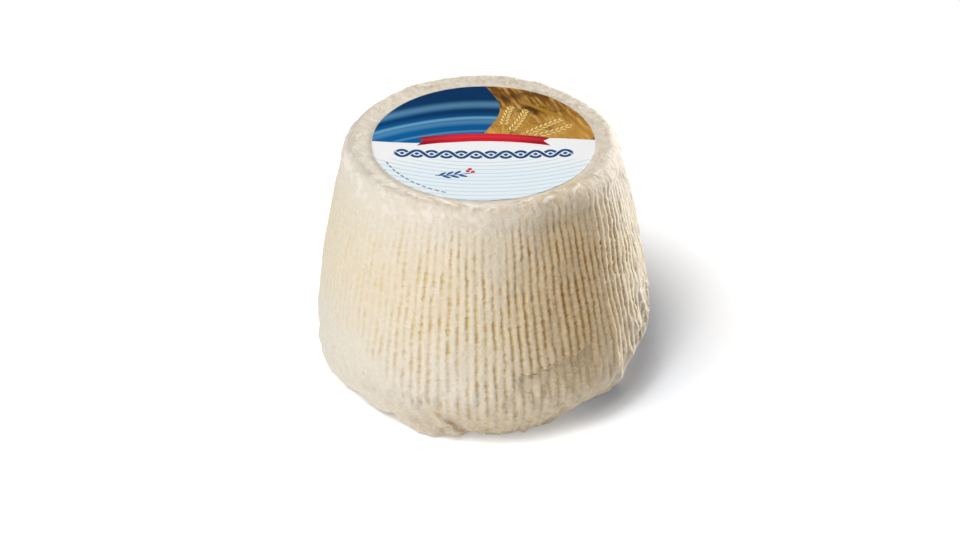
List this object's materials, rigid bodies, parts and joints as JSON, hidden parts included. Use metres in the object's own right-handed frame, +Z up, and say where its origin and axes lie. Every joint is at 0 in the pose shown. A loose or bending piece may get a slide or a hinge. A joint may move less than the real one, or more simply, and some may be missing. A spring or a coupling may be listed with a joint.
{
  "type": "moulded ricotta round",
  "caption": "Round of pressed salted ricotta: a tapered drum with fine upright basket ribs, a lobed undercut foot, and a printed paper disc on its flat top.",
  "frame": {"origin": "middle of the flat foot, on the axis of the round", "axes": "+Z up along the axis of the round, -Y towards the front, where the ribs are sharpest"},
  "size_m": [0.1544, 0.1541, 0.1182],
  "materials": {
    "curd": "moist pressed curd, cream white on the ribs and buff yellow in the grooves, slightly translucent",
    "printed_label": "thin coated paper with a soft sheen, printed in blue, gold, red and white"
  },
  "bodies": {
    "root": {"ricotta_round": "curd", "top_label": "printed_label"}
  },
  "joints": []
}
